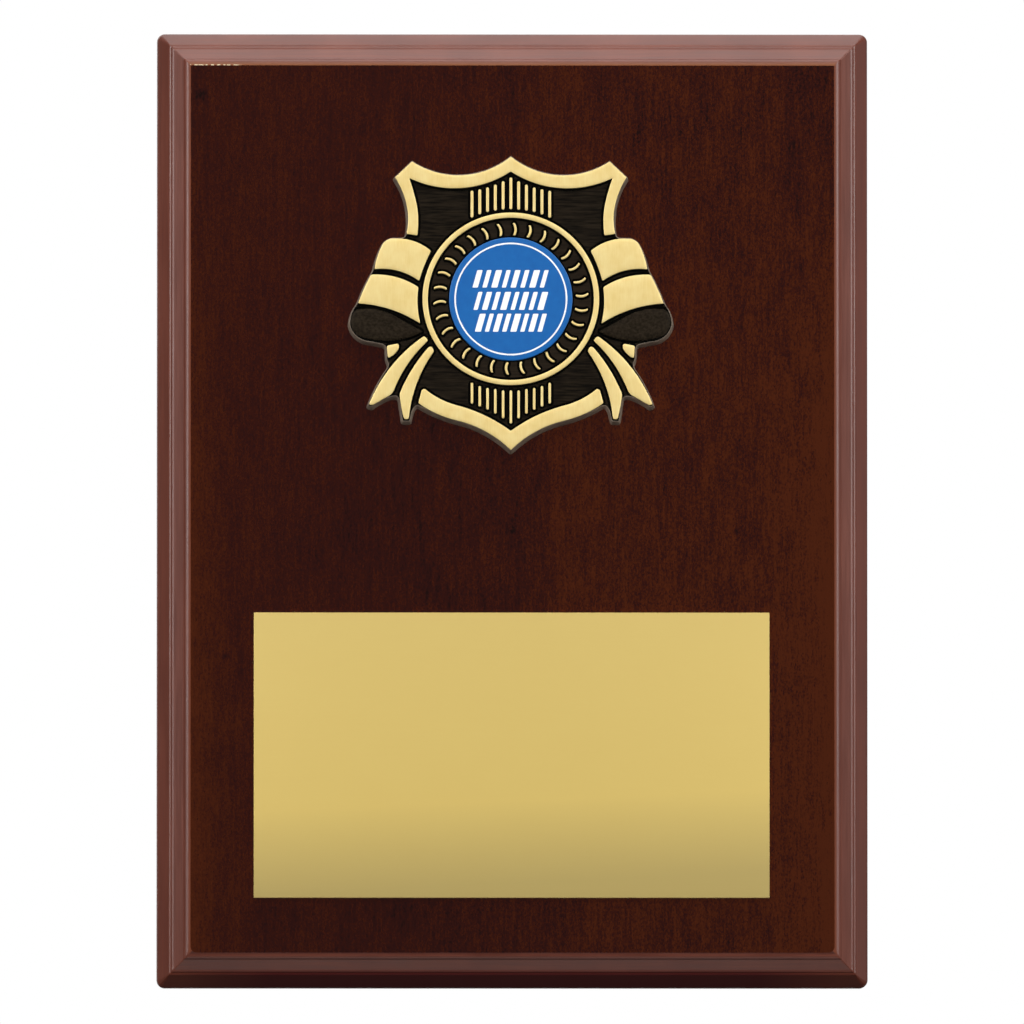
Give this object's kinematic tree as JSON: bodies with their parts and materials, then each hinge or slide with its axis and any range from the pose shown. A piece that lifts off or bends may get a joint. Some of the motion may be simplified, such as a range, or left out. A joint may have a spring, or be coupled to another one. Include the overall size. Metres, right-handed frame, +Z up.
{
  "type": "banner plaque",
  "caption": "Upright wooden award plaque with a stepped moulded edge, a cast shield-and-ribbon emblem round a printed insert, and a blank name plate.",
  "frame": {"origin": "centre of the board's flat back, on the wall", "axes": "+Z up along the board's height, -Y out of the wall towards the viewer, +X to the viewer's right"},
  "size_m": [0.15, 0.0191, 0.2014],
  "materials": {
    "dark_wood": "dark red-brown hardwood, lacquered on the face and satin on the moulded edge",
    "cast_gold": "pale satin gold on the raised lines, blackened in the hollows and on the sides",
    "printed_blue": "printed blue with a white ring, clear coated",
    "plate_gold": "satin gold, blank"
  },
  "bodies": {
    "root": {"plaque_board": "dark_wood", "emblem_casting": "cast_gold", "centre_disc": "printed_blue", "engraving_plate": "plate_gold"}
  },
  "joints": []
}
